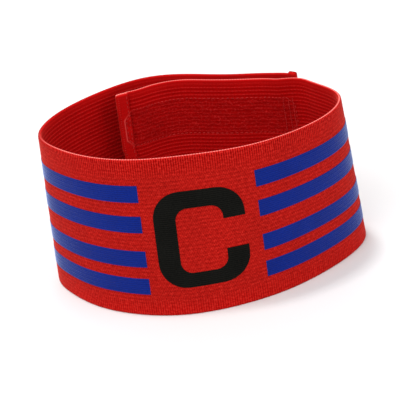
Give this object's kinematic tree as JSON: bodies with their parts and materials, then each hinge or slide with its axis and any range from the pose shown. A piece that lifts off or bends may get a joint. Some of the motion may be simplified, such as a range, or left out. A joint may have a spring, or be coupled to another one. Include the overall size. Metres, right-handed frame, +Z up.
{
  "type": "captain armband",
  "caption": "Elastic loop worn round a footballer's upper arm, closed by an overlapping touch fastener, with printed stripes and a captain's letter.",
  "frame": {"origin": "on the surface that the armband stands on, under the middle of its box", "axes": "+X along the loop's longer way, to the letter's right as it is read; +Y from the letter to the fastened back; +Z up, along the arm, from the lower edge to the upper one"},
  "size_m": [0.1394, 0.0934, 0.07],
  "materials": {
    "elastic": "ribbed red knitted elastic, matt",
    "fastener_pile": "red brushed loop pile, matt",
    "fastener_hooks": "red moulded hook tape, matt",
    "blue_print": "blue transfer print on the knit, satin",
    "black_print": "black transfer print on the knit, satin"
  },
  "bodies": {
    "root": {"band": "elastic", "upper_loop_strip": "fastener_pile", "lower_loop_strip": "fastener_pile", "upper_hook_strip": "fastener_hooks", "lower_hook_strip": "fastener_hooks", "left_stripe_1": "blue_print", "left_stripe_2": "blue_print", "left_stripe_3": "blue_print", "left_stripe_4": "blue_print", "right_stripe_1": "blue_print", "right_stripe_2": "blue_print", "right_stripe_3": "blue_print", "right_stripe_4": "blue_print", "captain_letter": "black_print"}
  },
  "joints": []
}
